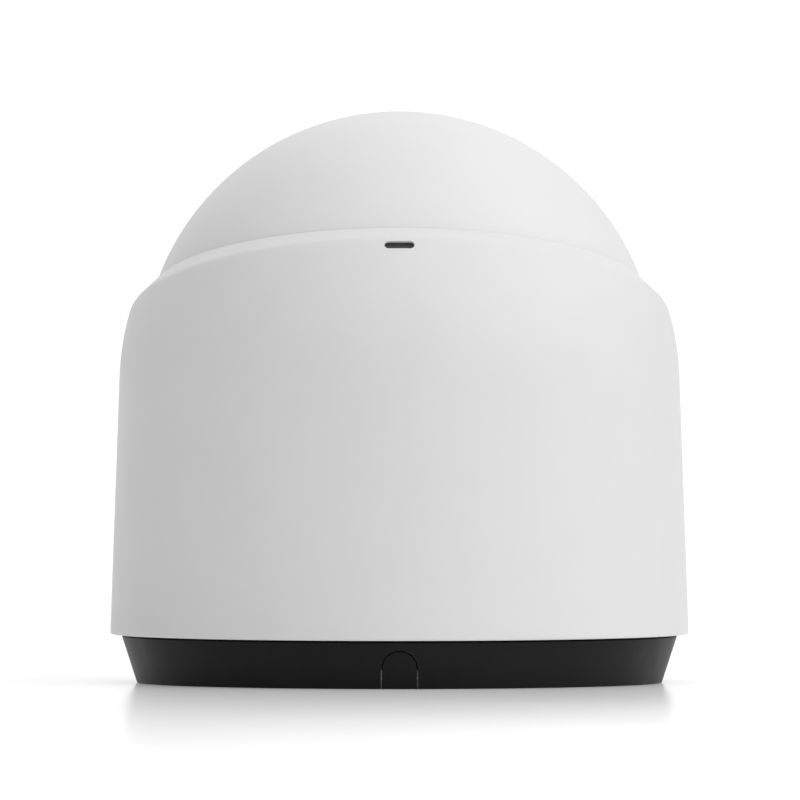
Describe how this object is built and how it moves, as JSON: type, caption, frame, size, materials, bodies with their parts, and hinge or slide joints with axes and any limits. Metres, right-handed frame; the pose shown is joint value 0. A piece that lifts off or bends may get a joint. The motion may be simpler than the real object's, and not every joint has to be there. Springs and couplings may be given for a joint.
{
  "type": "security camera",
  "caption": "Turret security camera: a ball head held in the slanted rim of a round housing that turns on a low screw-down base with a cable notch.",
  "frame": {"origin": "centre of the mounting face, where the base meets the wall or ceiling", "axes": "+Z away from the mounting face along the pan axis; +Y is the side the lens faces at rest; the cable notch and the microphone slot are at -Y"},
  "size_m": [0.11, 0.11, 0.1086],
  "materials": {
    "amber_film": "polyimide film",
    "black_plastic": "fine moulded texture",
    "brass_parts": "turned",
    "cable_jacket": "matte jacket",
    "cast_alloy": "as cast",
    "chassis_alloy": "bead blasted",
    "chip_epoxy": "moulded epoxy",
    "clear_glass": "coated optical glass",
    "dark_glass": "gloss tinted window",
    "dark_plastic": "smooth moulding",
    "gold_contacts": "gold plated",
    "green_board": "solder resist",
    "ivory_polymer": "low-friction acetal",
    "lamp_epoxy": "clear lens",
    "pad_silicone": "soft silicone",
    "red_plastic": "moulded",
    "rubber_black": "matte",
    "rubber_grey": "matte",
    "screw_steel": "plated",
    "white_ball": "satin white powder coat",
    "white_bezel": "satin white moulding",
    "white_board": "white solder resist",
    "white_housing": "satin white powder coat",
    "zinc_steel": "zinc plated"
  },
  "bodies": {
    "base": {"base_ring": "black_plastic", "mount_plate": "zinc_steel", "base_gasket": "rubber_grey", "pan_friction_ring": "ivory_polymer"},
    "plug": {"cable_plug": "black_plastic"},
    "housing": {"housing": "white_housing", "rim_liner": "dark_plastic", "mic_mesh": "dark_plastic", "microphone": "zinc_steel", "retaining_ring": "dark_plastic", "seat_frame": "cast_alloy", "seat_pads": "ivory_polymer", "frame_screws": "screw_steel", "tilt_track": "dark_plastic", "track_screws": "screw_steel", "jack_shell": "zinc_steel", "jack_insert": "dark_plastic", "jack_contacts": "gold_contacts", "jack_bracket": "zinc_steel", "bracket_screws": "screw_steel", "reset_switch": "dark_plastic", "harness": "cable_jacket"},
    "reset": {"reset_button": "red_plastic"},
    "carriage": {"tilt_carriage": "cast_alloy", "tail_washer": "ivory_polymer", "tail_nut": "brass_parts", "head_cable": "cable_jacket"},
    "ball": {"ball_shell": "white_ball", "front_bezel": "white_bezel", "bezel_oring": "rubber_black", "front_window": "dark_glass", "lens_window": "clear_glass", "window_gasket": "rubber_grey", "lens_hood": "rubber_black", "lens_barrel": "chassis_alloy", "front_lens": "clear_glass", "middle_lens": "clear_glass", "rear_lens": "clear_glass", "ir_cut_filter": "clear_glass", "lens_holder": "dark_plastic", "image_sensor": "chip_epoxy", "sensor_board": "green_board", "sensor_screws": "screw_steel", "chassis": "chassis_alloy", "lamp_board": "white_board", "infrared_lamps": "lamp_epoxy", "light_sensor": "chip_epoxy", "main_board": "green_board", "board_components": "chip_epoxy", "processor": "chip_epoxy", "thermal_pad": "pad_silicone", "heat_sink": "cast_alloy", "stack_spacers": "brass_parts", "stack_screws": "screw_steel", "cable_socket": "white_board", "sensor_ribbon": "amber_film"}
  },
  "joints": [
    {"name": "pan", "type": "hinge", "parent": "base", "child": "housing", "pos_m": [0, 0, 0.0154], "axis": [0, 0, 1], "range_deg": [-175, 175]},
    {"name": "tilt", "type": "hinge", "parent": "housing", "child": "carriage", "pos_m": [0, 0, 0.0596], "axis": [1, 0, 0], "range_deg": [-7.5, 48], "deforming": ["harness", "head_cable"]},
    {"name": "roll", "type": "hinge", "parent": "carriage", "child": "ball", "pos_m": [0, 0, 0.0596], "axis": [0, 0.7431, 0.6691], "range_deg": [-175, 175]},
    {"name": "plug_pull", "type": "slide", "parent": "base", "child": "plug", "axis": [0, -1, 0], "range_m": [0, 0.012]},
    {"name": "reset_press", "type": "slide", "parent": "housing", "child": "reset", "axis": [0, 0, 1], "range_m": [0, 0.0004], "stiffness_N_per_m": 800, "springref_m": -0.0005}
  ]
}
